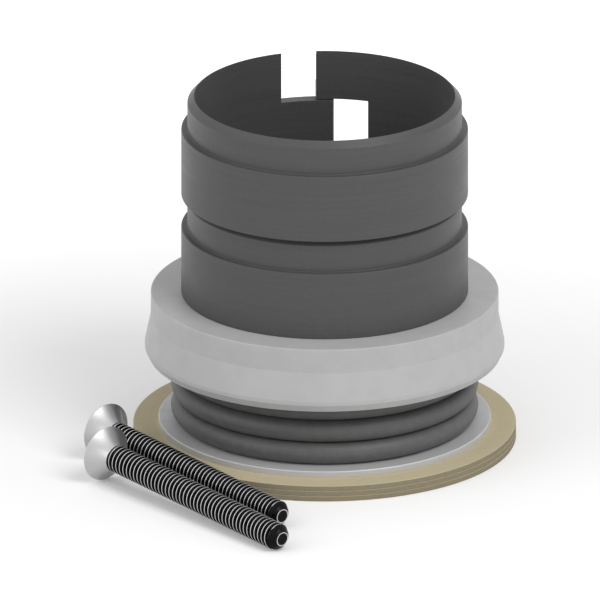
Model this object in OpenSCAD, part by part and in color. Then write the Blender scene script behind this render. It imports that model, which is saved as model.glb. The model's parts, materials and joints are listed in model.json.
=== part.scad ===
// Rod seal set on one axis: step-cut guide rings over a U-cup lip seal, O-rings,
// a backing washer and flat fibre rings, with the set's two countersunk screws lying beside it.
// Millimetres. The origin is on the rod's axis at the underside of the lowest fibre ring,
// and +Z runs up the rod, from the pressure side to the outside.

/* [Rod] */
// Diameter of the rod that the rings run on
rod_d = 60; // [50:0.5:75]

/* [Guide rings] */
// Radial section of a guide ring below its shoulder
guide_section = 3; // [2.4:0.1:4.5]
// Height of a guide ring, neck included
guide_h = 23.8; // [18:0.1:30]
// Radial section of the neck above the shoulder
neck_section = 1.6; // [1.2:0.1:2]
// Height of the neck
neck_h = 7.9; // [4:0.1:8.5]
// Height of the bevel round the outside of the neck's top
bevel_h = 1.5; // [0.5:0.1:2.5]
// Flat land that the bevel leaves at the bore
bevel_land = 0.15; // [0.1:0.05:0.8]
// Width of each half gap of the step-cut joint, along the middle of the section
joint_gap = 8.6; // [4:0.1:12]
// Length by which the joint's two tongues lap
joint_lap = 4.1; // [2:0.1:8]
// Clearance between the lapped tongues, along the rod
tongue_clearance = 0.35; // [0.1:0.05:0.8]
// Direction of the joint round the rod, where 90 is the back
joint_at = 90; // [0:5:355]

/* [Lip seal] */
// Radial section of the seal's heel, which is the width of its groove
seal_section = 10; // [8.5:0.1:14]
// Height of the seal, heel face to lip tips
seal_h = 15; // [13:0.1:20]
// Height of the straight side of the heel
heel_h = 5.75; // [3:0.05:6.5]
// How far each lip stands out past the heel
lip_flare = 1.35; // [0.6:0.05:1.8]
// Height of the narrow band at each lip's widest place
lip_band = 0.9; // [0.4:0.1:1.5]
// Width of the chamfer between that band and the tip
tip_chamfer_w = 0.85; // [0.4:0.05:1.2]
// Height of that chamfer
tip_chamfer_h = 1.7; // [0.8:0.1:2.2]
// Width of the flat tip of a lip
tip_land = 1.3; // [0.9:0.05:1.8]
// Depth of the groove between the lips
groove_depth = 8.75; // [7:0.05:9.5]
// Radius of the groove's round bottom
groove_r = 2.6; // [1.6:0.1:3]

/* [O-rings] */
// Diameter of an O-ring's round section
o_section = 5.33; // [3.5:0.01:7]
// Room where the O-rings lie against each other, the washer and the seal
o_clearance = 0.05; // [0.02:0.01:0.2]

/* [Backing washer] */
// Radial width of the washer
washer_w = 8.2; // [6:0.1:9.5]
// Thickness of the washer
washer_t = 1.5; // [0.8:0.05:3]

/* [Fibre rings] */
// Bore of the flat fibre rings
fibre_bore_d = 48; // [40:0.5:56]
// Outside diameter of the flat fibre rings
fibre_od = 88; // [80:0.5:100]
// Thickness of one fibre ring
fibre_t = 1.25; // [0.8:0.05:2.5]

/* [Screws] */
// Outside diameter of the screw's thread
screw_d = 6.35; // [4:0.05:8]
// Length of a screw, flat head included
screw_l = 63.5; // [55:0.5:75]
// Diameter of the countersunk head
head_d = 12.9; // [10:0.1:15]
// Angle of the countersink
head_angle = 82; // [80:1:100]
// Thickness of the head's rim
head_rim = 0.3; // [0.1:0.05:0.6]
// Distance between the turns of the thread
thread_pitch = 1.27; // [0.9:0.01:1.6]
// Angle between the thread's flanks
thread_angle = 60; // [55:1:70]
// Width of the thread's crests
crest_w = 0.16; // [0.08:0.01:0.3]
// Width of the flat at the thread's root
root_w = 0.21; // [0.1:0.01:0.3]
// Shortest plain length between the head and the thread
thread_runout = 0.6; // [0.2:0.1:3]
// Diameter of the flat end at the tip
tip_flat_d = 3.35; // [2:0.05:3.8]
// Width across the flats of the hexagon socket
socket_af = 3.97; // [2.5:0.01:5]
// Depth of the hexagon socket
socket_depth = 2.3; // [1:0.1:3]
// Direction in which the screws point on the surface, seen from above
screw_heading = -50; // [-60:1:-30]
// Distance from a screw's head to where its shank passes nearest the fibre rings
screw_reach = 22; // [20:0.5:30]
// Room between things that lie side by side
side_clearance = 0.25; // [0.1:0.05:0.5]

/* [Hidden] */
$fn = 96;
section_fn = 32;
screw_fn = 32;

fibre_tan = [0.70, 0.66, 0.53];
washer_grey = [0.66, 0.66, 0.66];
seal_grey = [0.62, 0.62, 0.62];
rubber_dark = [0.30, 0.30, 0.30];
nylon_dark = [0.28, 0.28, 0.28];
screw_dark = [0.22, 0.22, 0.22];

// How far a cut goes on past the face that it opens
cut_past = 1;
// The round bottom of the seal's groove is this much larger, so that its walls run into it
wall_bite = 0.002;

rod_r = rod_d / 2;

// Heights of the stack, each piece on the one below
fibre_z = [for (i = [0 : 2]) i * fibre_t];
washer_z = 3 * fibre_t;
o_r = o_section / 2;
o_ring_r = rod_r + o_r;
o_z = [for (i = [0 : 2]) washer_z + washer_t + (i + 1) * o_clearance + (2 * i + 1) * o_r];

// The seal's profile, either side of the middle of its section
seal_mid_r = rod_r + seal_section / 2;
lip_out = seal_section / 2 + lip_flare;
land_out = lip_out - tip_chamfer_w;
mouth_out = land_out - tip_land;

// The inner lip's corner rests on the shoulder of the top O-ring
shoulder_reach = o_ring_r - (seal_mid_r - mouth_out);
seal_z = o_z[2] + sqrt(pow(o_r + o_clearance, 2) - pow(shoulder_reach, 2));
guide_z = [for (i = [0 : 1]) seal_z + seal_h + i * guide_h];

// Angles of the step-cut joint
joint_r = rod_r + guide_section / 2;
gap_deg = joint_gap / joint_r * 180 / PI;
lap_deg = joint_lap / joint_r * 180 / PI;

// A screw lies on its head's rim and on the last thread before its tip
screw_r = screw_d / 2;
head_r = head_d / 2;
head_h = head_rim + (head_r - screw_r) / tan(head_angle / 2);
tip_chamfer = screw_r - tip_flat_d / 2;
flank_w = (thread_pitch - crest_w - root_w) / 2;
thread_depth = flank_w / tan(thread_angle / 2);
thread_turns = floor((screw_l - tip_chamfer - head_h - thread_runout) / thread_pitch);
lying_tilt = atan((head_r - screw_r) / (screw_l - tip_chamfer - head_rim));
head_z = head_r * cos(lying_tilt) + head_rim * sin(lying_tilt);
screw_side = fibre_od / 2 + screw_r + side_clearance;
screw_spacing = head_r + screw_r + side_clearance;
// Moved on along its length, the outer screw lies straight in front of the inner one
screw_stagger = screw_spacing * tan(-screw_heading);

// A flat ring of one thickness
module flat_ring(bore_r, out_r, height) {
    difference() {
        cylinder(h = height, r = out_r);
        translate([0, 0, -cut_past]) cylinder(h = height + 2 * cut_past, r = bore_r);
    }
}

// A wedge about the rod's axis, between two angles and two heights
module sector(from_deg, to_deg, z_low, z_high) {
    far = 2 * (rod_r + guide_section);
    translate([0, 0, z_low]) linear_extrude(height = z_high - z_low)
        polygon([[0, 0], far * [cos(from_deg), sin(from_deg)], far * [cos(to_deg), sin(to_deg)]]);
}

// One guide ring: a body and a thinner neck with a bevelled top, cut through in a step
module guide_ring(z) {
    middle = guide_h / 2;
    slack = tongue_clearance / 2;
    half_lap = lap_deg / 2;
    translate([0, 0, z]) difference() {
        rotate_extrude() polygon([
            [rod_r, 0],
            [rod_r + guide_section, 0],
            [rod_r + guide_section, guide_h - neck_h],
            [rod_r + neck_section, guide_h - neck_h],
            [rod_r + neck_section, guide_h - bevel_h],
            [rod_r + bevel_land, guide_h],
            [rod_r, guide_h]]);
        rotate([0, 0, joint_at]) {
            sector(half_lap, half_lap + gap_deg, middle - slack, guide_h + cut_past);
            sector(-half_lap - gap_deg, -half_lap, -cut_past, middle + slack);
            sector(-half_lap - gap_deg / 2, half_lap + gap_deg / 2, middle - slack, middle + slack);
        }
    }
}

// The groove between the lips: a round bottom, and walls that leave it at a tangent
module groove() {
    crown_z = groove_depth - groove_r;
    reach = sqrt(pow(mouth_out, 2) + pow(crown_z, 2));
    wall_dir = acos(groove_r / reach) - atan(crown_z / mouth_out);
    wall_x = groove_r * cos(wall_dir);
    wall_z = crown_z + groove_r * sin(wall_dir);
    past_x = mouth_out + cut_past * (mouth_out - wall_x) / wall_z;
    rotate_extrude() translate([seal_mid_r, 0]) union() {
        translate([0, crown_z]) circle(r = groove_r + wall_bite, $fn = section_fn);
        polygon([
            [-past_x, -cut_past],
            [past_x, -cut_past],
            [wall_x, wall_z],
            [0, crown_z],
            [-wall_x, wall_z]]);
    }
}

// The U-cup: a straight heel, two lips that flare to a narrow band, and chamfered tips
module lip_seal() {
    band_z = seal_h - heel_h;
    color(seal_grey) translate([0, 0, seal_z]) difference() {
        rotate_extrude() translate([seal_mid_r, 0]) polygon([
            [-land_out, 0],
            [land_out, 0],
            [lip_out, tip_chamfer_h],
            [lip_out, tip_chamfer_h + lip_band],
            [seal_section / 2, band_z],
            [seal_section / 2, seal_h],
            [-seal_section / 2, seal_h],
            [-seal_section / 2, band_z],
            [-lip_out, tip_chamfer_h + lip_band],
            [-lip_out, tip_chamfer_h]]);
        groove();
    }
}

module o_ring(z) {
    translate([0, 0, z]) rotate_extrude()
        translate([o_ring_r, 0]) circle(r = o_r, $fn = section_fn);
}

// A flat-head screw along +Z, with its head's face at the origin. Its thread is closed grooves of
// the true pitch and flanks, from the head to a full crest at the tip's chamfer
module screw() {
    grooves = [for (i = [thread_turns : -1 : 1], point = [
        [screw_r, 0],
        [screw_r - thread_depth, flank_w],
        [screw_r - thread_depth, flank_w + root_w],
        [screw_r, thread_pitch - crest_w]]) point + [0, screw_l - tip_chamfer - i * thread_pitch]];
    difference() {
        rotate_extrude($fn = screw_fn) polygon(concat(
            [[0, 0], [head_r, 0], [head_r, head_rim], [screw_r, head_h]],
            grooves,
            [[screw_r, screw_l - tip_chamfer], [tip_flat_d / 2, screw_l], [0, screw_l]]));
        translate([0, 0, -cut_past])
            cylinder(h = socket_depth + cut_past, r = socket_af / 2 / cos(30), $fn = 6);
    }
}

// A screw laid on the surface beside the stack, so far out from it and so far along
module lying_screw(out, along) {
    rotate([0, 0, screw_heading]) translate([along - screw_reach, -out, head_z])
        rotate([0, 90 + lying_tilt, 0]) screw();
}

module fibre_ring_lower() {
    color(fibre_tan) translate([0, 0, fibre_z[0]])
        flat_ring(fibre_bore_d / 2, fibre_od / 2, fibre_t);
}

module fibre_ring_middle() {
    color(fibre_tan) translate([0, 0, fibre_z[1]])
        flat_ring(fibre_bore_d / 2, fibre_od / 2, fibre_t);
}

module fibre_ring_upper() {
    color(fibre_tan) translate([0, 0, fibre_z[2]])
        flat_ring(fibre_bore_d / 2, fibre_od / 2, fibre_t);
}

module backing_washer() {
    color(washer_grey) translate([0, 0, washer_z])
        flat_ring(rod_r, rod_r + washer_w, washer_t);
}

module o_ring_lower() {
    color(rubber_dark) o_ring(o_z[0]);
}

module o_ring_middle() {
    color(rubber_dark) o_ring(o_z[1]);
}

module o_ring_upper() {
    color(rubber_dark) o_ring(o_z[2]);
}

module guide_ring_lower() {
    color(nylon_dark) guide_ring(guide_z[0]);
}

module guide_ring_upper() {
    color(nylon_dark) guide_ring(guide_z[1]);
}

module screw_inner() {
    color(screw_dark) lying_screw(screw_side, 0);
}

module screw_outer() {
    color(screw_dark) lying_screw(screw_side + screw_spacing, screw_stagger);
}

fibre_ring_lower();
fibre_ring_middle();
fibre_ring_upper();
backing_washer();
o_ring_lower();
o_ring_middle();
o_ring_upper();
lip_seal();
guide_ring_lower();
guide_ring_upper();
screw_inner();
screw_outer();
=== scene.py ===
"""Rod seal set for a 60 mm hydraulic rod.

Step-cut guide rings stand on a U-cup lip seal, O-rings, a backing washer and flat fibre rings,
all on the rod's axis, and the set's two countersunk screws lie beside them. Each piece is a
surface worked out from a few sizes, and takes the place of one plain solid. Lengths are metres
in Blender, and MM turns millimetres into them.
"""

import json
import math

import bmesh
import bpy
import numpy as np
from bpy.props import FloatProperty, FloatVectorProperty, IntProperty, PointerProperty
from mathutils import Matrix, Vector


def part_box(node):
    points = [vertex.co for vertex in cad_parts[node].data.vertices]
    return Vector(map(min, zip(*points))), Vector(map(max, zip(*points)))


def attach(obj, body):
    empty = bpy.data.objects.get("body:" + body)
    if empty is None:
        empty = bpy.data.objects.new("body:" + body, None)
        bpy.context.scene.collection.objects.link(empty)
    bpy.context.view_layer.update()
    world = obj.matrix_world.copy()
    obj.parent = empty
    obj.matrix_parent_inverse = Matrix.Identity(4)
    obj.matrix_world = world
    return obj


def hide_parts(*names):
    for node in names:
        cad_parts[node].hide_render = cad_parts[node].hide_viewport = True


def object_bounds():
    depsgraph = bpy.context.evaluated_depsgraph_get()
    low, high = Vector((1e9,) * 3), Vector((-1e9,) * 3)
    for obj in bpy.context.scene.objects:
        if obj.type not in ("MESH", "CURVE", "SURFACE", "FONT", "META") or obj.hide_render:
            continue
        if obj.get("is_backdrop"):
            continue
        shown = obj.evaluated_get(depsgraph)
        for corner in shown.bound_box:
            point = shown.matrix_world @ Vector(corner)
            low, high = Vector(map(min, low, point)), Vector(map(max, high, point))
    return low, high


bl_info = {
    "name": "Rod Seal Set",
    "version": (1, 0, 0),
    "blender": (4, 5, 0),
    "location": "View3D > Sidebar > Rod Seal",
    "description": "Builds the rings, seal and screws of a hydraulic rod seal set",
    "category": "Mesh",
}

MM = 0.001
# Points of an outline that lie closer than this are one point
SAME_POINT = 1e-5 * MM
# Points of a mesh that lie closer than this are merged
MERGE_DISTANCE = 5e-4 * MM
# Edges shorter than this are taken out of a mesh
SHORTEST_EDGE = 1e-4 * MM
# The fewest steps in which a surface may go round
FEWEST_STEPS = 12

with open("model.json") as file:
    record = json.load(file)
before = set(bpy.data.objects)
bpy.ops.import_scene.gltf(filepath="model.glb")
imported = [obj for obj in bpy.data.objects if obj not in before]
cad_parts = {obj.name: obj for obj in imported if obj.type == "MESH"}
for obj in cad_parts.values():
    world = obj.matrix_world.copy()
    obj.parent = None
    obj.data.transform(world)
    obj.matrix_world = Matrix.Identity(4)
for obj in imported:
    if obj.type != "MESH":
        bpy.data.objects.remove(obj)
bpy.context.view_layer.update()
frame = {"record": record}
MOUNTS = {mount["name"]: mount for mount in frame["record"]["mounts"]}

# The nodes by kind, from the bottom up, and the screws from the rings outwards
FIBRE_NODES = ("fibre_ring_lower", "fibre_ring_middle", "fibre_ring_upper")
O_RING_NODES = ("o_ring_lower", "o_ring_middle", "o_ring_upper")
GUIDE_NODES = ("guide_ring_lower", "guide_ring_upper")
SCREW_NODES = ("screw_inner", "screw_outer")

# What a screw's level attribute says of a point: the thread's root, its crest, or the head.
# The finish paints a highlight where the level is the crest's, and the tip's rim gets it too
ROOT_LEVEL, CREST_LEVEL, HEAD_LEVEL = 0.0, 1.0, 2.0


def mount_mm(name):
    """The radius that the record states for a mount, in millimetres."""
    return MOUNTS[name]["dims"]["r_mm"]


def low_z(node):
    """The height of a node's lowest point."""
    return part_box(node)[0].z


def height_of(node):
    """A node's height."""
    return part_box(node)[1].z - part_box(node)[0].z


def reach_of(node):
    """The largest radius of a node that is round about the rod's axis, to 0.01 mm."""
    return round(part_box(node)[1].x, 5)


def screen(red, green, blue):
    """An 8-bit screen colour as the linear values that Blender works in: above 0.04045 a channel c
    becomes ((c + 0.055) / 1.055) to the power 2.4, and below it c / 12.92."""
    channels = np.array([red, green, blue]) / 255
    low = channels / 12.92
    high = ((channels + 0.055) / 1.055) ** 2.4
    return tuple(float(v) for v in np.where(channels > 0.04045, high, low))


def size(name, default_mm, description):
    """A length property, with its default given in millimetres."""
    return FloatProperty(name=name, description=description, default=default_mm * MM, min=0.0,
                         precision=5, subtype="DISTANCE", unit="LENGTH")


def angle(name, default_deg, description):
    """An angle property, with its default given in degrees."""
    return FloatProperty(name=name, description=description, default=math.radians(default_deg),
                         subtype="ANGLE", unit="ROTATION")


def amount(name, default, description):
    """A property for a power or a strength, which has no length or angle in it."""
    return FloatProperty(name=name, description=description, default=default, min=0.0)


def count(name, default, description):
    """A property for a number of steps in a surface."""
    return IntProperty(name=name, description=description, default=default, min=FEWEST_STEPS)


def position(name, default, description):
    """A property for a point in space, in metres."""
    return FloatVectorProperty(name=name, description=description, default=default, size=3,
                               subtype="TRANSLATION", unit="LENGTH")


def tint(name, colour, description):
    """A colour property."""
    return FloatVectorProperty(name=name, description=description, default=colour, size=3,
                               min=0.0, max=1.0, subtype="COLOR")


class RingSettings(bpy.types.PropertyGroup):
    facets: count("Facets", 264, "Steps in one turn of a ring")
    rod_r: size("Rod radius", mount_mm("rod_bore"), "Radius of the bore that the rod runs in")


class GuideSettings(bpy.types.PropertyGroup):
    neck_r: size("Neck radius", mount_mm("guide_neck"), "Outside radius of the neck")
    neck_h: size("Neck height", 7.9, "Height of the neck above the shoulder")
    bevel_h: size("Bevel height", 1.5, "Height of the bevel round the neck's top")
    bevel_land: size("Land", 0.15, "Flat land that the bevel leaves at the bore")
    joint_gap: size("Joint gap", 8.6, "Width of each half gap of the step-cut joint")
    joint_lap: size("Joint lap", 4.1, "Length by which the joint's tongues lap")
    tongue_clearance: size("Tongue clearance", 0.35, "Room between the lapped tongues")
    edge_r: size("Edge break", 0.2, "Radius of the turned edges")
    cut_break: size("Cut break", 0.06, "Width of the break along the sharp cut edges")
    body_tint: tint("Nylon", screen(67, 67, 68), "Colour of the filled nylon")
    fleck_tint: tint("Fleck", screen(89, 89, 91), "Colour of the filler's flecks")


class SealSettings(bpy.types.PropertyGroup):
    heel_r: size("Heel radius", mount_mm("seal_heel"), "Outside radius of the heel")
    heel_h: size("Heel height", 5.75, "Height of the straight side of the heel")
    lip_band: size("Lip band", 0.9, "Height of the band at a lip's widest place")
    tip_chamfer_w: size("Tip chamfer width", 0.85, "Width of the chamfer at a lip's tip")
    tip_chamfer_h: size("Tip chamfer height", 1.7, "Height of the chamfer at a lip's tip")
    tip_land: size("Tip land", 1.3, "Width of the flat tip of a lip")
    tip_edge_r: size("Tip edge", 0.3, "Radius of the edges of that flat tip")
    chamfer_edge_r: size("Chamfer edge", 0.45, "Radius where the chamfer meets the band")
    band_edge_r: size("Band edge", 0.7, "Radius where the band meets the flare")
    waist_r: size("Waist", 0.6, "Radius where the flare meets the heel")
    heel_edge_r: size("Heel edge", 0.25, "Radius of the heel's edges")
    groove_depth: size("Groove depth", 8.75, "Depth of the groove between the lips")
    groove_r: size("Groove radius", 2.6, "Radius of the groove's round bottom")
    body_tint: tint("Polyurethane", screen(174, 174, 174), "Colour of the moulded seal")
    cloud_tint: tint("Cloud", screen(169, 169, 170), "Colour of its faint clouding")


class ORingSettings(bpy.types.PropertyGroup):
    section_steps: count("Section steps", 88, "Steps round an O-ring's section")
    flash_h: size("Flash height", 0.035, "Height of the fine line that the mould leaves")
    flash_w: size("Flash width", 0.09, "Half width of that line")
    body_tint: tint("Rubber", screen(84, 84, 84), "Colour of the nitrile rubber")
    bloom_tint: tint("Bloom", screen(91, 91, 92), "Colour of the bloom on the rubber")


class FlatSettings(bpy.types.PropertyGroup):
    die_roll_r: size("Die roll", 0.28, "Radius that blanking leaves on the washer's upper edges")
    burr_r: size("Burr edge", 0.06, "Radius of the washer's lower edges")
    fibre_bore_r: size("Fibre ring bore", mount_mm("fibre_bore"), "Bore radius of the fibre rings")
    fibre_edge_r: size("Fibre edge", 0.2, "Radius of a fibre ring's cut edges")
    steel_tint: tint("Washer steel", screen(206, 206, 207), "Colour of the washer")
    grain_tint: tint("Rolled grain", screen(162, 162, 165), "Colour of the darker rolled grain")
    fibre_tint: tint("Fibre", screen(193, 182, 152), "Colour of the pressed fibre")
    strand_tint: tint("Strand", screen(172, 160, 130), "Colour of its darker strands")
    # Partly painted shade: the cut edges' colour is the fibre ends' own darker tone, and also the
    # shade of the side faces and of the seams between rings
    cut_and_shade_tint: tint("Cut edge", screen(120, 112, 93), "Colour of its cut edges")


class ScrewSettings(bpy.types.PropertyGroup):
    thread_r: size("Thread radius", 3.175, "Outside radius of the thread")
    pitch: size("Pitch", 1.27, "Distance between turns of the thread")
    thread_angle: angle("Thread angle", 60, "Angle between the two flanks of a groove")
    crest_w: size("Crest width", 0.16, "Width of the thread's flat crest")
    root_w: size("Root width", 0.21, "Width of the bottom of the thread's groove")
    run_out: size("Run-out", 1.5, "Length over which the thread fades out below the head")
    length: size("Length", 63.5, "Length of a screw, flat head included")
    head_r: size("Head radius", 6.45, "Radius of the countersunk head")
    head_angle: angle("Head angle", 82, "Angle of the countersink")
    head_rim: size("Head rim", 0.3, "Thickness of the head's rim")
    head_break: size("Head break", 0.15, "Radius or width of the break along the head's edges")
    tip_flat_r: size("Tip radius", 1.675, "Radius of the flat end at the tip")
    # Painted highlight: a bright ring round the tip's flat end, standing in for light catching its rim
    tip_highlight_w: size("Highlight rim", 0.2, "Width of the bright ring round the tip's flat end")
    socket_af: size("Socket width", 3.97, "Width across the flats of the hexagon socket")
    socket_depth: size("Socket depth", 2.3, "Depth of the hexagon socket")
    drill_point: size("Drill point", 1.0, "Depth of the drilled cone at the socket's bottom")
    heading: angle("Heading", -50, "Direction in which the screws point")
    reach: size("Reach", 22, "Distance from the head to where the shank passes the fibre rings")
    clearance: size("Clearance", 0.25, "Room between things that lie side by side")
    slack: size("Slack", 0.25, "How far a screw's ends may lie off the ends of its solid")
    columns: count("Columns", 60, "Steps round a screw")
    # Painted highlight: this bright colour on the crests stands in for light catching them
    crest_highlight_tint: tint("Crest", screen(205, 205, 206), "Colour of the thread's bright crests")
    flank_tint: tint("Flank", screen(26, 26, 27), "Colour of the blackened flanks")
    head_tint: tint("Head", screen(186, 186, 187), "Colour of the bare head")


class StageSettings(bpy.types.PropertyGroup):
    elevation: angle("Elevation", 20.1, "Angle from which the camera looks down")
    width: size("View width", 138, "Width of the camera's square view")
    distance: size("Distance", 800, "How far back the camera stands, which doesn't change its view")
    far_clip: size("Far clip", 10000, "Distance past which the camera shows nothing")
    key_power: amount("Key power", 3.2, "Power of the key lamp in watts")
    key_width: size("Key width", 420, "Width of the square key lamp")
    key_place: position("Key place", (0.36, -0.42, 0.62), "Where the key lamp hangs")
    fill_power: amount("Fill power", 1.1, "Power of the fill lamp in watts")
    fill_width: size("Fill width", 500, "Width of the square fill lamp")
    fill_place: position("Fill place", (-0.55, -0.30, 0.36), "Where the fill lamp hangs")
    sky: amount("Sky", 0.65, "Strength of the even light from all round")
    floor_tint: tint("Floor", (0.80, 0.80, 0.80), "Colour of the floor")
    floor_reach: size("Floor reach", 1600, "Distance from the rod's axis to the floor's sides")
    near_white: amount("Near white", 0.16, "Share of white that is seen on the floor by the set")
    shadow_r: size("Shadow radius", 70, "Radius out to which the floor shows its shadow in full")
    white_r: size("White radius", 400, "Radius past which the floor looks white")


# The name under which a scene keeps each group of settings
GROUPS = {
    "seal_rings": RingSettings,
    "seal_guide": GuideSettings,
    "seal_lip": SealSettings,
    "seal_o_ring": ORingSettings,
    "seal_flat": FlatSettings,
    "seal_screw": ScrewSettings,
    "seal_stage": StageSettings,
}


def rounded(corners, radii, steps=7):
    """Rounds the corners of a closed outline. Between sides that meet at a half angle h, an arc of
    radius r touches both of them: its centre lies r / sin h from the corner along the bisector, and
    it meets the sides r / tan h from the corner. A radius of 0 leaves a corner sharp. Each arc is
    drawn in so many steps."""
    corners = np.asarray(corners, float)
    radii = np.asarray(radii, float)
    before = np.roll(corners, 1, axis=0) - corners
    after = np.roll(corners, -1, axis=0) - corners
    before /= np.linalg.norm(before, axis=1, keepdims=True)
    after /= np.linalg.norm(after, axis=1, keepdims=True)
    half = np.arccos(np.clip((before * after).sum(axis=1), -1, 1)) / 2
    # On a straight run the bisector has no length, and the corner has no radius
    bisector = before + after
    shortest = 1e-12
    bisector /= np.maximum(np.linalg.norm(bisector, axis=1, keepdims=True), shortest)
    centre = corners + bisector * (radii / np.sin(half))[:, None]
    first = corners + before * (radii / np.tan(half))[:, None] - centre
    last = corners + after * (radii / np.tan(half))[:, None] - centre
    from_angle = np.arctan2(first[:, 1], first[:, 0])
    sweep = np.arctan2(last[:, 1], last[:, 0]) - from_angle
    sweep = (sweep + math.pi) % (2 * math.pi) - math.pi
    angles = from_angle[:, None] + sweep[:, None] * np.linspace(0, 1, steps + 1)
    arcs = np.stack([np.cos(angles), np.sin(angles)], axis=-1)
    points = (centre[:, None, :] + radii[:, None, None] * arcs).reshape(-1, 2)
    is_apart = np.linalg.norm(points - np.roll(points, 1, axis=0), axis=1) > SAME_POINT
    return points[is_apart]


def round_axis(radius, turn, along):
    """Points round the Z axis: at the angle a, one of radius r lies at (r cos a, r sin a)."""
    radius, turn, along = np.broadcast_arrays(radius, turn, along)
    return np.stack([radius * np.cos(turn), radius * np.sin(turn), along], axis=-1)


def turned(outline, angles):
    """Carries an outline of (radius, height) points round the rod's axis, with a row an angle."""
    outline = np.asarray(outline)
    return round_axis(outline[None, :, 0], np.asarray(angles)[:, None], outline[None, :, 1])


def quads(rows, columns, close_rows=False, close_columns=True, start=0):
    """The four-sided faces of a grid whose points are numbered row by row from start. A closed
    direction joins its last points to its first ones."""
    i = np.arange(rows if close_rows else rows - 1)[:, None]
    j = np.arange(columns if close_columns else columns - 1)[None, :]
    next_i = (i + 1) % rows
    next_j = (j + 1) % columns
    corners = [i * columns + j, next_i * columns + j, next_i * columns + next_j, i * columns + next_j]
    return start + np.stack(corners, axis=-1).reshape(-1, 4)


def full_turn(steps):
    """The angles of one turn, without the last, which is the first again."""
    return np.linspace(0, 2 * math.pi, steps, endpoint=False)


def make_piece(name, node, finish, points, faces, level=None, smooth_deg=40):
    """Makes a mesh object out of points and faces, which stands for one node and rides on the root.
    level is a number per point that the finish reads. Points that coincide are merged, and edges
    sharper than smooth_deg stay sharp."""
    mesh = bpy.data.meshes.new(name)
    mesh.from_pydata(np.asarray(points).reshape(-1, 3).tolist(), [], [list(f) for f in faces])
    if level is not None:
        mesh.attributes.new("level", "FLOAT", "POINT").data.foreach_set(
            "value", np.asarray(level, np.float32).ravel())
    work = bmesh.new()
    work.from_mesh(mesh)
    bmesh.ops.remove_doubles(work, verts=work.verts, dist=MERGE_DISTANCE)
    bmesh.ops.dissolve_degenerate(work, edges=work.edges, dist=SHORTEST_EDGE)
    work.to_mesh(mesh)
    work.free()
    mesh.shade_smooth()
    mesh.set_sharp_from_angle(angle=math.radians(smooth_deg))
    mesh.materials.append(finish)
    piece = bpy.data.objects.new(name, mesh)
    bpy.context.scene.collection.objects.link(piece)
    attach(piece, "root")
    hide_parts(node)
    return piece


def make_ring(name, node, finish, outline, facets):
    """Makes a whole ring: a closed outline carried once round the rod's axis."""
    points = turned(outline, full_turn(facets))
    faces = quads(facets, len(outline), close_rows=True)
    return make_piece(name, node, finish, points, faces)


def break_edges(piece, width):
    """Breaks the square edges of a piece, and leaves those that are rounded already."""
    modifier = piece.modifiers.new("break_edges", "BEVEL")
    modifier.width = width
    modifier.segments = 2
    modifier.limit_method = "ANGLE"
    modifier.angle_limit = math.radians(60)
    modifier.harden_normals = True


def even_shading(piece):
    """Lets large faces decide the shading at their edges, so that flats look flat."""
    modifier = piece.modifiers.new("even_shading", "WEIGHTED_NORMAL")
    modifier.keep_sharp = True
    modifier.weight = 60


class Field:
    """A value or colour: one output socket of a node tree. The operators add Math nodes, so that
    sums are written as in Python."""

    def __init__(self, nodes, socket):
        self.nodes = nodes
        self.socket = socket

    def _math(self, operation, first, second):
        return self.nodes.add("ShaderNodeMath", {"operation": operation}, {0: first, 1: second})

    def __add__(self, other):
        return self._math("ADD", self, other)

    def __radd__(self, other):
        return self._math("ADD", other, self)

    def __sub__(self, other):
        return self._math("SUBTRACT", self, other)

    def __rsub__(self, other):
        return self._math("SUBTRACT", other, self)

    def __mul__(self, other):
        return self._math("MULTIPLY", self, other)

    def __rmul__(self, other):
        return self._math("MULTIPLY", other, self)

    def __pow__(self, other):
        return self._math("POWER", self, other)

    def part(self, axis):
        """The x, y or z of a vector."""
        return self.nodes.add("ShaderNodeSeparateXYZ", {}, {0: self}, output="XYZ".index(axis))

    def step(self, low, high):
        """0 below low and 1 above high, with a smooth rise between them."""
        return self.nodes.add("ShaderNodeMapRange", {"interpolation_type": "SMOOTHSTEP"},
                              {"Value": self, "From Min": low, "From Max": high})


class Nodes:
    """The node tree of a material or of the sky."""

    def __init__(self, tree):
        self.tree = tree

    def add(self, kind, settings=None, sockets=None, output=0):
        """Adds a node of any kind: first its settings, then the values or links of its sockets."""
        node = self.tree.nodes.new(kind)
        for key, value in (settings or {}).items():
            setattr(node, key, value)
        for key, value in (sockets or {}).items():
            if isinstance(value, Field):
                self.tree.links.new(value.socket, node.inputs[key])
            else:
                node.inputs[key].default_value = value
        return Field(self, node.outputs[output])

    def mix(self, factor, first, second):
        """A colour between two colours, given as Fields or as (red, green, blue)."""
        first, second = [colour if isinstance(colour, Field) else (*colour, 1.0)
                         for colour in (first, second)]
        # The node has sockets of the same names for values and for vectors, so these go by number
        first_colour, second_colour, colour_out = 6, 7, 2
        return self.add("ShaderNodeMix", {"data_type": "RGBA"},
                        {0: factor, first_colour: first, second_colour: second}, output=colour_out)

    def seen(self):
        """1 for rays from the camera, off gloss and through glass, and 0 for the light that falls."""
        camera, glossy, through = [self.add("ShaderNodeLightPath", output=name) for name in
                                   ("Is Camera Ray", "Is Glossy Ray", "Is Transmission Ray")]
        return self.add("ShaderNodeMath", {"operation": "ADD", "use_clamp": True},
                        {0: camera + glossy, 1: through})


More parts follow.
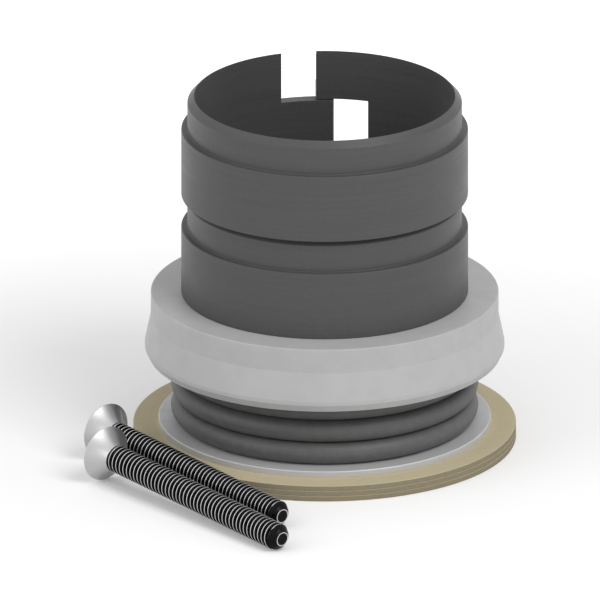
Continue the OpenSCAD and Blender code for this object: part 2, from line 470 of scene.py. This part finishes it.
class Finish(Nodes):
    """A material whose surface is one Principled shader, built up with Field sums."""

    def __init__(self, name, **fixed):
        self.material = bpy.data.materials.new(name)
        self.material.use_nodes = True
        super().__init__(self.material.node_tree)
        self.tree.nodes.clear()
        self.shader = self.tree.nodes.new("ShaderNodeBsdfPrincipled")
        output = self.tree.nodes.new("ShaderNodeOutputMaterial")
        self.tree.links.new(self.shader.outputs[0], output.inputs[0])
        for key, value in fixed.items():
            self.shader.inputs[key.replace("_", " ")].default_value = value
        self.place = self.add("ShaderNodeTexCoord", output="Object")

    def noise(self, grain, vector=None, detail=3.0, roughness=0.5):
        """A noise of 0 to 1, on the object's coordinates or on the vector, whose grain is about
        this many metres."""
        return self.add("ShaderNodeTexNoise", {"noise_dimensions": "3D"},
                        {"Vector": vector or self.place, "Scale": 1 / grain, "Detail": detail,
                         "Roughness": roughness})

    def stretched(self, x=1.0, y=1.0, z=1.0, turn=0.0):
        """The object's coordinates, turned about Z by this many radians and then multiplied along
        each axis. A pattern on them is drawn out along an axis whose factor is small."""
        return self.add("ShaderNodeMapping", {"vector_type": "POINT"},
                        {"Vector": self.place, "Rotation": (0.0, 0.0, turn), "Scale": (x, y, z)})

    def radius(self):
        """Distance from the rod's axis: the root of x squared plus y squared."""
        x, y = self.place.part("X"), self.place.part("Y")
        return (x * x + y * y) ** 0.5

    def lathe(self):
        """Coordinates on which a pattern lies in rings, as turning leaves them: the radius, the
        height, and a small share of x, so that the rings change slowly on their way round."""
        x_share = 0.02
        return self.add("ShaderNodeCombineXYZ", {}, {
            "X": self.radius(), "Y": self.place.part("X") * x_share, "Z": self.place.part("Z")})

    def dress(self, colour=None, roughness=None, glow=None, height=None, depth=0.0):
        """Links what varies to the shader. A height of 1 stands depth metres proud."""
        for key, field in (("Base Color", colour), ("Roughness", roughness), ("Emission Color", glow)):
            if field is not None:
                self.tree.links.new(field.socket, self.shader.inputs[key])
        if height is not None:
            bump = self.add("ShaderNodeBump", {}, {"Height": height, "Distance": depth,
                                                   "Strength": 1.0})
            self.tree.links.new(bump.socket, self.shader.inputs["Normal"])
        return self.material


def nylon_finish(sizes):
    """Turned, filled nylon: fine rings from the turning tool, and pale flecks of filler."""
    finish = Finish("turned_nylon", Specular_IOR_Level=0.3)
    flecks = finish.noise(grain=0.35 * MM, detail=4.0, roughness=0.7).step(0.52, 0.72)
    clouds = finish.noise(grain=6 * MM)
    rings = finish.lathe()
    tool_marks = finish.noise(grain=0.22 * MM, vector=rings, detail=2.0)
    passes = finish.noise(grain=1.1 * MM, vector=rings, roughness=0.7)
    colour = finish.mix(flecks * 0.45 + passes * 0.5, sizes.body_tint, sizes.fleck_tint)
    return finish.dress(colour, roughness=0.30 + 0.12 * clouds + 0.22 * passes,
                        height=tool_marks * 0.35 + passes * 0.5 + flecks * 0.15, depth=0.03 * MM)


def polyurethane_finish(sizes):
    """Moulded polyurethane: satin, faintly clouded, with the fine texture of the mould."""
    finish = Finish("moulded_polyurethane", Specular_IOR_Level=0.45)
    clouds = finish.noise(grain=5 * MM, detail=4.0, roughness=0.6)
    texture = finish.noise(grain=0.25 * MM)
    colour = finish.mix(clouds.step(0.3, 0.75), sizes.body_tint, sizes.cloud_tint)
    return finish.dress(colour, roughness=0.42 + 0.12 * clouds, height=texture, depth=0.004 * MM)


def rubber_finish(sizes):
    """Nitrile rubber: dark, with a faint bloom that lies in patches."""
    finish = Finish("nitrile_rubber", Specular_IOR_Level=0.4)
    bloom = finish.noise(grain=2.2 * MM, detail=5.0, roughness=0.65)
    texture = finish.noise(grain=0.2 * MM, detail=2.0)
    colour = finish.mix(bloom.step(0.35, 0.7), sizes.body_tint, sizes.bloom_tint)
    return finish.dress(colour, roughness=0.40 + 0.22 * bloom, height=texture, depth=0.004 * MM)


def washer_finish(sizes):
    """Blanked sheet steel, with the fine grain of its rolling along one way."""
    finish = Finish("blanked_steel", Metallic=0.35)
    grain = finish.noise(grain=0.18 * MM, vector=finish.stretched(x=0.035, turn=0.4))
    clouds = finish.noise(grain=4 * MM, detail=4.0)
    colour = finish.mix(grain * 0.35 + clouds * 0.3, sizes.steel_tint, sizes.grain_tint)
    return finish.dress(colour, roughness=0.44 + 0.16 * clouds + 0.08 * grain, height=grain,
                        depth=0.004 * MM)


def fibre_finish(sizes, out_r):
    """Pressed fibre sheet: strands that lie two ways, and cut edges in thin layers, darker partly from
    their own fibre ends and partly as painted shade of the side faces and of the seams between stacked
    rings.
    """
    finish = Finish("pressed_fibre", Specular_IOR_Level=0.25)
    ways = (finish.stretched(x=0.16, z=0.6, turn=0.35), finish.stretched(y=0.16, z=0.6, turn=0.1))
    along, across = [finish.noise(grain=0.28 * MM, vector=way, detail=4.0, roughness=0.6)
                     for way in ways]
    strands = (along.step(0.5, 0.72) + across.step(0.5, 0.72)) * 0.42
    clouds = finish.noise(grain=7 * MM)
    face = finish.mix(strands + clouds * 0.22, sizes.fibre_tint, sizes.strand_tint)
    layers = finish.noise(grain=0.12 * MM, vector=finish.stretched(x=0.08, y=0.08), detail=2.0)
    # The cut edges' colour, their fibre ends' own darker tone together with painted shade, fades in
    # over the rounded edge, inside and outside
    radius = finish.radius()
    faint, full = 0.08 * MM, 0.03 * MM
    outside = radius.step(out_r - faint, out_r - full)
    inside = 1 - radius.step(sizes.fibre_bore_r + full, sizes.fibre_bore_r + faint)
    # This mask darkens the cut edges, partly for their fibre ends and partly as painted shade
    cut = outside + inside
    colour = finish.mix(cut * (0.65 + 0.35 * layers), face, sizes.cut_and_shade_tint)
    return finish.dress(colour, roughness=0.74 + 0.14 * clouds, height=strands + cut * layers,
                        depth=0.012 * MM)


def screw_finish(sizes):
    """Blackened steel with a bare grey head, and a painted highlight along the thread's crests and
    round the tip's flat end. It reads the level of a point."""
    finish = Finish("screw_steel", Metallic=1.0)
    level = finish.add("ShaderNodeAttribute", {"attribute_name": "level"}, output="Fac")
    grain = finish.noise(grain=0.3 * MM)
    # Painted highlight: a bright colour on the crests and the tip's rim, where light would catch them
    crest_highlight = level.step(CREST_LEVEL - 0.1, CREST_LEVEL) * (0.72 + 0.5 * grain)
    thread = finish.mix(crest_highlight, sizes.flank_tint, sizes.crest_highlight_tint)
    colour = finish.mix(level.step(CREST_LEVEL + 0.2, HEAD_LEVEL - 0.2), thread, sizes.head_tint)
    return finish.dress(colour, roughness=0.34 + 0.16 * grain, height=grain, depth=0.003 * MM)


class SEAL_OT_guide_rings(bpy.types.Operator):
    """Build the step-cut guide rings"""
    bl_idname = "rod_seal.guide_rings"
    bl_label = "Guide Rings"

    def execute(self, context):
        rings = context.scene.seal_rings
        sizes = context.scene.seal_guide
        finish = nylon_finish(sizes)
        for node in GUIDE_NODES:
            points, faces = guide_ring_surface(rings, sizes, low_z(node), height_of(node),
                                               reach_of(node))
            ring = make_piece("turned_" + node, node, finish, points, faces)
            break_edges(ring, sizes.cut_break)
            even_shading(ring)
        return {"FINISHED"}


def guide_section(bore_r, sizes, base, height, body_r):
    """A guide ring's section: a plain body, and above its shoulder a thinner neck with a bevelled
    top. It starts at the bore under the tongues' clearance and goes on over the ring's lower face,
    its outside and its top. Returns the half below the clearance and the half above it."""
    under = base + height / 2 - sizes.tongue_clearance / 2
    over = base + height / 2 + sizes.tongue_clearance / 2
    top = base + height
    shoulder = top - sizes.neck_h
    edge = sizes.edge_r
    # Each corner with its radius
    corners = [((bore_r, under), 0), ((bore_r, base), edge), ((body_r, base), edge),
               ((body_r, under), 0), ((body_r, over), 0), ((body_r, shoulder), edge),
               ((sizes.neck_r, shoulder), edge), ((sizes.neck_r, top - sizes.bevel_h), edge),
               ((bore_r + sizes.bevel_land, top), 0), ((bore_r, top), 0), ((bore_r, over), 0)]
    section = rounded([corner for corner, _ in corners], [radius for _, radius in corners], steps=5)
    # Rounding may have left another point first
    first = int(np.argmin(np.abs(section - corners[0][0]).sum(axis=1)))
    section = np.roll(section, -first, axis=0)
    is_lower = section[:, 1] < base + height / 2
    return section[is_lower], section[~is_lower]


def guide_ring_surface(rings, sizes, base, height, body_r):
    """A guide ring's section carried round the rod's axis. The ring is whole except at its joint,
    where it goes on as an upper tongue from one end and as a lower tongue from the other. They lap,
    with a clearance between them at half height. Returns the points and the faces."""
    lower, upper = guide_section(rings.rod_r, sizes, base, height, body_r)
    section = np.concatenate([lower, upper])

    # Directions, from the lower tongue's gap to the upper one's, with the joint at the back
    middle_r = (rings.rod_r + body_r) / 2
    half_lap = sizes.joint_lap / middle_r / 2
    gap = sizes.joint_gap / middle_r
    joint = math.pi / 2
    marks = joint + np.array([-half_lap - gap, -half_lap, half_lap, half_lap + gap])
    step = 2 * math.pi / rings.facets
    parts = [(section, marks[3], marks[0] + 2 * math.pi),
             (upper, marks[0], marks[2]),
             (lower, marks[1], marks[3])]
    points, faces, ends, start = [], [], [], 0
    for outline, low, high in parts:
        rows = int(math.ceil((high - low) / step)) + 1
        points.append(turned(outline, np.linspace(low, high, rows)).reshape(-1, 3))
        faces += quads(rows, len(outline), start=start).tolist()
        ends.append((start, start + (rows - 1) * len(outline)))
        start += rows * len(outline)

    # The whole part's ends are steps: each leaves out the half that goes on as a tongue
    over_lower = np.r_[0, np.arange(len(lower) - 1, len(section))]
    under_upper = np.r_[np.arange(len(lower) + 1), len(section) - 1]
    faces.append((ends[0][0] + over_lower).tolist())
    faces.append((ends[0][1] + under_upper)[::-1].tolist())
    # Each tongue's tip is the whole of its half
    faces.append((ends[1][1] + np.arange(len(upper)))[::-1].tolist())
    faces.append((ends[2][0] + np.arange(len(lower))).tolist())
    return np.concatenate(points), faces


class SEAL_OT_lip_seal(bpy.types.Operator):
    """Build the U-cup lip seal"""
    bl_idname = "rod_seal.lip_seal"
    bl_label = "Lip Seal"

    def execute(self, context):
        rings = context.scene.seal_rings
        sizes = context.scene.seal_lip
        node = "lip_seal"
        outline = seal_outline(rings.rod_r, sizes, low_z(node), height_of(node), reach_of(node))
        even_shading(make_ring("moulded_lip_seal", node, polyurethane_finish(sizes),
                               outline, rings.facets))
        return {"FINISHED"}


def seal_outline(bore_r, sizes, base, height, lip_r):
    """The U-cup's section: a straight heel, lips that flare to a narrow band, chamfered tips, and a
    groove whose walls touch its round bottom. The bottom has the radius r, and its centre lies c
    above the mouth's middle and d from the mouth's edge. With a mouth of half width m, the walls
    lean by atan(m / c) - asin(r / d) from upright, and would meet at the height m / tan(lean)."""
    middle = (bore_r + sizes.heel_r) / 2
    heel = sizes.heel_r - middle
    lip = lip_r - middle
    land = lip - sizes.tip_chamfer_w
    mouth = land - sizes.tip_land
    centre = sizes.groove_depth - sizes.groove_r
    distance = math.hypot(mouth, centre)
    lean = math.atan2(mouth, centre) - math.asin(sizes.groove_r / distance)
    apex = mouth / math.tan(lean)
    band = sizes.tip_chamfer_h + sizes.lip_band
    side = [(land, 0.0), (lip, sizes.tip_chamfer_h), (lip, band), (heel, height - sizes.heel_h),
            (heel, height)]
    side_radii = [sizes.tip_edge_r, sizes.chamfer_edge_r, sizes.band_edge_r, sizes.waist_r,
                  sizes.heel_edge_r]
    other_side = [(-x, z) for x, z in side[::-1]]
    corners = [(mouth, 0.0)] + side + other_side + [(-mouth, 0.0), (0.0, apex)]
    radii = [sizes.tip_edge_r] + side_radii + side_radii[::-1] + [sizes.tip_edge_r, sizes.groove_r]
    return rounded(corners, radii, steps=9) + (middle, base)


class SEAL_OT_o_rings(bpy.types.Operator):
    """Build the O-rings"""
    bl_idname = "rod_seal.o_rings"
    bl_label = "O-Rings"

    def execute(self, context):
        rings = context.scene.seal_rings
        sizes = context.scene.seal_o_ring
        finish = rubber_finish(sizes)
        for node in O_RING_NODES:
            outline = o_ring_outline(rings.rod_r, sizes, low_z(node), height_of(node) / 2)
            make_ring("moulded_" + node, node, finish, outline, rings.facets)
        return {"FINISHED"}


def o_ring_outline(bore_r, sizes, base, section_r):
    """A circle with the mould's flash, a low ridge of height h and half width w along its inner and
    outer middle: at the distance d from the middle it stands h exp(-(d / w) squared) proud."""
    around = full_turn(sizes.section_steps)
    off_middle = np.abs(np.sin(around)) * section_r
    radius = section_r + sizes.flash_h * np.exp(-(off_middle / sizes.flash_w) ** 2)
    return np.stack([bore_r + section_r + radius * np.cos(around),
                     base + section_r + radius * np.sin(around)], axis=-1)


class SEAL_OT_flat_rings(bpy.types.Operator):
    """Build the backing washer and the fibre rings"""
    bl_idname = "rod_seal.flat_rings"
    bl_label = "Washer and Fibre Rings"

    def execute(self, context):
        rings = context.scene.seal_rings
        sizes = context.scene.seal_flat
        roll, burr, edge = sizes.die_roll_r, sizes.burr_r, sizes.fibre_edge_r
        flat_ring("stamped_washer", "backing_washer", washer_finish(sizes), rings,
                  rings.rod_r, [burr, burr, roll, roll])
        finish = fibre_finish(sizes, reach_of(FIBRE_NODES[0]))
        for node in FIBRE_NODES:
            flat_ring("pressed_" + node, node, finish, rings, sizes.fibre_bore_r,
                      [edge] * 4)
        return {"FINISHED"}


def flat_ring(name, node, finish, rings, bore_r, radii):
    """A rectangle with rounded corners, carried round the rod's axis. The radii go from the lower
    inner corner to the lower outer one and on over the top."""
    low, high, out_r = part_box(node)[0].z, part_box(node)[1].z, reach_of(node)
    outline = rounded([(bore_r, low), (out_r, low), (out_r, high), (bore_r, high)], radii)
    even_shading(make_ring(name, node, finish, outline, rings.facets))


class SEAL_OT_screws(bpy.types.Operator):
    """Build the threaded countersunk screws"""
    bl_idname = "rod_seal.screws"
    bl_label = "Screws"

    def execute(self, context):
        sizes = context.scene.seal_screw
        finish = screw_finish(sizes)
        points, faces, level = screw_surface(sizes)
        side = reach_of(FIBRE_NODES[0]) + sizes.thread_r + sizes.clearance
        spacing = sizes.head_r + sizes.thread_r + sizes.clearance
        stagger = spacing * math.tan(-sizes.heading)
        for node, out, along in zip(SCREW_NODES, (side, side + spacing), (0.0, stagger)):
            lying = np.array(lying_place(sizes, out, along))
            placed = points @ lying[:3, :3].T + lying[:3, 3]
            make_piece("threaded_" + node, node, finish, placed, faces, level)
            lowest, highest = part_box(node)
            off = max(np.abs(placed.min(axis=0) - lowest).max(),
                      np.abs(placed.max(axis=0) - highest).max())
            if off > sizes.slack:
                raise ValueError(f"{node} lies {off / MM:.2f} mm off the solid that it stands for")
        return {"FINISHED"}


def lying_place(sizes, out, along):
    """Where a screw lies that touches the surface with its head's rim and with the last thread
    before its tip: tilted by atan((head radius - thread radius) / distance between them)."""
    tip_chamfer = sizes.thread_r - sizes.tip_flat_r
    tilt = math.atan((sizes.head_r - sizes.thread_r)
                     / (sizes.length - tip_chamfer - sizes.head_rim))
    height = sizes.head_r * math.cos(tilt) + sizes.head_rim * math.sin(tilt)
    return (Matrix.Rotation(sizes.heading, 4, "Z")
            @ Matrix.Translation((along - sizes.reach, -out, height))
            @ Matrix.Rotation(math.pi / 2 + tilt, 4, "Y"))


def screw_surface(sizes):
    """A countersunk screw along +Z, with its head's face at 0: grids for the head, the thread and
    the tip, which share their end rows. The last column lies where the first one is, or where the
    next turn's is, and is merged with it. Returns points, faces and levels."""
    angles = np.linspace(0, 2 * math.pi, sizes.columns + 1)
    points, faces, levels, start = [], [], [], 0
    for make_grid in (head_grid, thread_grid, tip_grid):
        grid, level = make_grid(sizes, angles)
        rows, columns = grid.shape[:2]
        points.append(grid.reshape(-1, 3))
        levels.append(np.broadcast_to(level, (rows, columns)).ravel())
        faces.append(quads(rows, columns, close_columns=False, start=start)[:, ::-1])
        start += rows * columns
    return np.concatenate(points), np.concatenate(faces), np.concatenate(levels)


def head_height(sizes):
    """Distance from the head's face to where its cone has the thread's radius."""
    return sizes.head_rim + (sizes.head_r - sizes.thread_r) / math.tan(sizes.head_angle / 2)


def head_grid(sizes, angles):
    """The head: from the drilled point up the hexagon socket, over the flat face, round the rim by
    a quarter of an arc, and down the cone. A side of the hexagon, at the angle t from its middle,
    lies at half the width across the flats / cos t. Returns points and levels."""
    edge = sizes.head_break
    off_middle = (angles + math.pi / 6) % (math.pi / 3) - math.pi / 6
    hexagon = sizes.socket_af / 2 / np.cos(off_middle)
    arc_rows = 4
    arc = np.linspace(0, math.pi / 2, arc_rows)
    # Rows of radius and distance from the face
    rows = [(0.0, sizes.socket_depth + sizes.drill_point),
            (hexagon - edge, sizes.socket_depth + edge / 2),
            (hexagon, sizes.socket_depth),
            (hexagon, edge),
            (hexagon + edge, 0.0)]
    rows += [(sizes.head_r - edge + edge * math.sin(t), edge - edge * math.cos(t)) for t in arc]
    rows += [(sizes.head_r, sizes.head_rim), (sizes.thread_r, head_height(sizes))]
    return np.stack([round_axis(radius, angles, along) for radius, along in rows]), HEAD_LEVEL


def thread_grid(sizes, angles):
    """The thread: rows that climb by one pitch a turn, p a / 360 degrees at the angle a, so that its
    crests and grooves follow them. At the share t of a groove's half width from its middle, the
    share (1 - |t|) / (1 - r) of its depth is cut away, and all of it over the root's share r. Below
    the head the grooves fade in, by 3 f squared - 2 f cubed at the share f of the run-out, and a 45
    degree chamfer ends them at the tip. Returns points and levels."""
    groove_w = sizes.pitch - sizes.crest_w
    groove_depth = (groove_w - sizes.root_w) / 2 / math.tan(sizes.thread_angle / 2)
    root = sizes.root_w / groove_w
    flank_rows = 4
    flank = np.linspace(root, 1, flank_rows)
    t = np.r_[-flank[::-1], flank]

    head_h = head_height(sizes)
    # One more turn at each end, which the ends cut off
    turns = int(math.ceil((sizes.length - head_h) / sizes.pitch)) + 2
    climbs = (np.arange(turns)[:, None] - 1) * sizes.pitch + groove_w * (t + 1) / 2
    climbs = climbs.reshape(-1, 1) + sizes.pitch * angles / (2 * math.pi)
    along = np.clip(head_h + climbs, head_h, sizes.length)
    cut = np.tile((1 - np.abs(t)) / (1 - root), turns)[:, None]
    fade = np.clip((along - head_h) / sizes.run_out, 0, 1)
    tip_r = sizes.tip_flat_r + (sizes.length - along)
    radius = np.minimum(sizes.thread_r - groove_depth * cut * fade ** 2 * (3 - 2 * fade), tip_r)

    level = np.where(along <= head_h, HEAD_LEVEL, CREST_LEVEL - cut)
    # The tip's chamfer is as black as the root, and its rim gets the crest's painted highlight
    level = np.where(radius >= tip_r, ROOT_LEVEL, level)
    level = np.where(along >= sizes.length, CREST_LEVEL, level)
    return round_axis(radius, angles, along), level


def tip_grid(sizes, angles):
    """The flat end, from its rim to its middle, with a painted highlight ring at the rim. Returns
    points and levels."""
    ring_r = sizes.tip_flat_r - sizes.tip_highlight_w
    radius = np.array([[sizes.tip_flat_r], [ring_r], [ring_r - sizes.tip_highlight_w / 2], [0.0]])
    level = np.array([[CREST_LEVEL], [CREST_LEVEL], [ROOT_LEVEL], [ROOT_LEVEL]])
    return round_axis(radius, angles, sizes.length), level


class SEAL_OT_stage(bpy.types.Operator):
    """Set up the floor, the lamps and the camera"""
    bl_idname = "rod_seal.stage"
    bl_label = "Stage"

    def execute(self, context):
        sizes = context.scene.seal_stage
        low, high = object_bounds()
        aim = (low + high) / 2
        lay_floor(sizes)
        light_sky(context.scene, sizes)
        hang_lamp("key_lamp", sizes.key_power, sizes.key_width, Vector(sizes.key_place), aim)
        hang_lamp("fill_lamp", sizes.fill_power, sizes.fill_width, Vector(sizes.fill_place), aim)
        set_camera(context.scene, sizes, low, high)
        context.scene.view_settings.view_transform = "Standard"
        return {"FINISHED"}


def lay_floor(sizes):
    """A large pale floor that shows white to the camera and in reflections, and keeps shadows."""
    reach = sizes.floor_reach
    corners = [(-reach, -reach, 0), (reach, -reach, 0), (reach, reach, 0), (-reach, reach, 0)]
    mesh = bpy.data.meshes.new("floor")
    mesh.from_pydata(corners, [], [(0, 1, 2, 3)])
    floor = bpy.data.objects.new("floor", mesh)
    bpy.context.scene.collection.objects.link(floor)
    finish = Finish("floor_paint", Roughness=0.9, Specular_IOR_Level=0.0, Emission_Strength=1.0,
                    Base_Color=(*sizes.floor_tint, 1.0))
    # White that is only seen: a little by the set, and so much past it that it has no horizon
    far = finish.radius().step(sizes.shadow_r, sizes.white_r)
    white = finish.seen() * (sizes.near_white + (1 - sizes.near_white) * far)
    glow = finish.mix(white, (0.0, 0.0, 0.0), (1.0, 1.0, 1.0))
    mesh.materials.append(finish.dress(glow=glow))
    floor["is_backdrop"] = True


def light_sky(scene, sizes):
    """Even light from all round, which the camera and reflections see as white."""
    world = bpy.data.worlds.new("studio")
    world.use_nodes = True
    sky = Nodes(world.node_tree)
    background = world.node_tree.nodes["Background"]
    background.inputs["Color"].default_value = (1.0, 1.0, 1.0, 1.0)
    strength = sizes.sky + (1 - sizes.sky) * sky.seen()
    world.node_tree.links.new(strength.socket, background.inputs["Strength"])
    scene.world = world


def hang_lamp(name, power, width, at, aim):
    """A soft square lamp at a place, turned towards the set."""
    lamp = bpy.data.lights.new(name, "AREA")
    lamp.energy = power
    lamp.size = width
    lamp_object = bpy.data.objects.new(name, lamp)
    lamp_object.location = at
    lamp_object.rotation_euler = (aim - at).to_track_quat("-Z", "Y").to_euler()
    bpy.context.scene.collection.objects.link(lamp_object)


def set_camera(scene, sizes, low, high):
    """A camera with no perspective that looks along +Y and down. On its picture a point lies at
    the height y sin(elevation) + z cos(elevation), and the set's middle comes in the picture's."""
    rise, run = math.sin(sizes.elevation), math.cos(sizes.elevation)
    top = reach_of("guide_ring_upper") * rise + high.z * run
    bottom = low.y * rise
    up = (top + bottom) / 2
    across = (low.x + high.x) / 2
    back = sizes.distance
    data = bpy.data.cameras.new("camera")
    data.type = "ORTHO"
    data.ortho_scale = sizes.width
    data.clip_end = sizes.far_clip
    camera = bpy.data.objects.new("camera", data)
    camera.location = (across, up * rise - back * run, up * run + back * rise)
    camera.rotation_euler = (math.pi / 2 - sizes.elevation, 0, 0)
    scene.collection.objects.link(camera)
    scene.camera = camera


class SEAL_PT_panel(bpy.types.Panel):
    """The rod seal set's pieces"""
    bl_idname = "SEAL_PT_panel"
    bl_label = "Rod Seal"
    bl_space_type = "VIEW_3D"
    bl_region_type = "UI"
    bl_category = "Rod Seal"

    def draw(self, context):
        scene = context.scene
        for key in RingSettings.__annotations__:
            self.layout.prop(scene.seal_rings, key)
        for operator, group in STEPS:
            box = self.layout.box()
            box.operator(operator.bl_idname)
            for key in GROUPS[group].__annotations__:
                box.prop(getattr(scene, group), key)


# The operators in the order in which they run, each with the settings of its own
STEPS = (
    (SEAL_OT_flat_rings, "seal_flat"),
    (SEAL_OT_o_rings, "seal_o_ring"),
    (SEAL_OT_lip_seal, "seal_lip"),
    (SEAL_OT_guide_rings, "seal_guide"),
    (SEAL_OT_screws, "seal_screw"),
    (SEAL_OT_stage, "seal_stage"),
)


def register():
    """Adds the settings, the operators and the panel to Blender."""
    for group in GROUPS.values():
        bpy.utils.register_class(group)
    for operator, _ in STEPS:
        bpy.utils.register_class(operator)
    bpy.utils.register_class(SEAL_PT_panel)
    for name, group in GROUPS.items():
        setattr(bpy.types.Scene, name, PointerProperty(type=group))


def unregister():
    """Takes the settings, the operators and the panel out again."""
    for name in GROUPS:
        delattr(bpy.types.Scene, name)
    bpy.utils.unregister_class(SEAL_PT_panel)
    for operator, _ in STEPS:
        bpy.utils.unregister_class(operator)
    for group in GROUPS.values():
        bpy.utils.unregister_class(group)


def main():
    """Builds the set and its stage."""
    register()
    bpy.ops.rod_seal.flat_rings()
    bpy.ops.rod_seal.o_rings()
    bpy.ops.rod_seal.lip_seal()
    bpy.ops.rod_seal.guide_rings()
    bpy.ops.rod_seal.screws()
    bpy.ops.rod_seal.stage()


if __name__ == "__main__":
    main()
